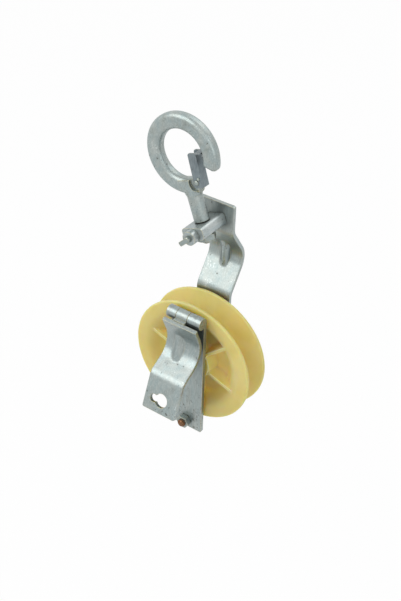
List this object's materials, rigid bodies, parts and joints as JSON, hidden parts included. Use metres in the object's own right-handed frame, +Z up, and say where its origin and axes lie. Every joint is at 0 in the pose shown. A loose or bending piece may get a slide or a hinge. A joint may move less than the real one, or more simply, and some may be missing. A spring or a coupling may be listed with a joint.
{
  "type": "cable pulling roller",
  "caption": "Hanging cable roller: grooved nylon wheel on bearings in a flat bar frame, with a hinged keyhole gate, lock pin and swivelling safety hook.",
  "frame": {"origin": "centre of the roller, where the axle's centre line meets the middle plane of the groove", "axes": "+X along the cable, +Y to the rear along the axle, +Z up towards the hook"},
  "size_m": [0.139, 0.1163, 0.348],
  "materials": {
    "zinc_bar": "bright zinc plate, faintly streaked",
    "zinc_tube": "bright zinc plate",
    "forged_zinc": "zinc plated forging, satin",
    "latch_steel": "zinc plated sheet, dull",
    "zinc_fastener": "zinc plate, slightly dull",
    "tie_bolt_steel": "zinc plate with a rusted end",
    "bearing_steel": "polished steel",
    "spring_steel": "bright wire",
    "nylon": "natural cream nylon, satin"
  },
  "bodies": {
    "frame": {"rear_strap": "zinc_bar", "front_plate": "zinc_bar", "hinge_pin": "zinc_fastener", "axle": "zinc_fastener", "axle_washer": "zinc_fastener", "axle_nut": "zinc_fastener", "axle_spacers": "zinc_fastener", "bearing_inner_rings": "bearing_steel", "bearing_distance_tube": "bearing_steel", "tie_bolt": "tie_bolt_steel", "tie_spacer": "zinc_fastener", "tie_nut": "zinc_fastener"},
    "roller_group": {"roller": "nylon", "bearing_outer_rings": "bearing_steel", "bearing_shields": "bearing_steel"},
    "ball_group": {"bearing_balls": "bearing_steel", "bearing_cages": "bearing_steel"},
    "gate_group": {"gate_strap": "zinc_bar"},
    "lock_group": {"lock_pin": "zinc_fastener"},
    "crossbar_group": {"crossbar": "zinc_tube", "crossbar_collar": "zinc_fastener", "lock_pin_bush": "zinc_tube"},
    "hook_group": {"hook": "forged_zinc", "hook_nut": "zinc_fastener", "latch_rivet": "zinc_fastener", "latch_spring": "spring_steel"},
    "latch_group": {"latch": "latch_steel", "latch_studs": "latch_steel"}
  },
  "joints": [
    {"name": "roller_spin", "type": "hinge", "parent": "frame", "child": "roller_group", "pos_m": [0, 0, 0], "axis": [0, 1, 0], "continuous": true},
    {"name": "ball_orbit", "type": "hinge", "parent": "frame", "child": "ball_group", "pos_m": [0, 0, 0], "axis": [0, 1, 0], "continuous": true},
    {"name": "gate_swing", "type": "hinge", "parent": "frame", "child": "gate_group", "pos_m": [0, -0.026, 0.0625], "axis": [-1, 0, 0], "range_deg": [0, 158]},
    {"name": "lock_turn", "type": "hinge", "parent": "crossbar_group", "child": "lock_group", "pos_m": [0, -0.025, 0.153], "axis": [0, 1, 0], "range_deg": [-42, 45]},
    {"name": "crossbar_turn", "type": "hinge", "parent": "frame", "child": "crossbar_group", "pos_m": [0, 0, 0.153], "axis": [0, 1, 0], "range_deg": [0, 40]},
    {"name": "hook_swivel", "type": "hinge", "parent": "crossbar_group", "child": "hook_group", "pos_m": [0, 0, 0.153], "axis": [-0.342, 0, 0.9397], "continuous": true},
    {"name": "latch_open", "type": "hinge", "parent": "hook_group", "child": "latch_group", "pos_m": [-0.00628, 0, 0.20095], "axis": [0, -1, 0], "range_deg": [0, 35], "stiffness_Nm_per_rad": 0.03, "springref_deg": -20.05}
  ],
  "couplings": [
    {"joint": "ball_orbit", "follows": "roller_spin", "ratio": 0.6318}
  ]
}
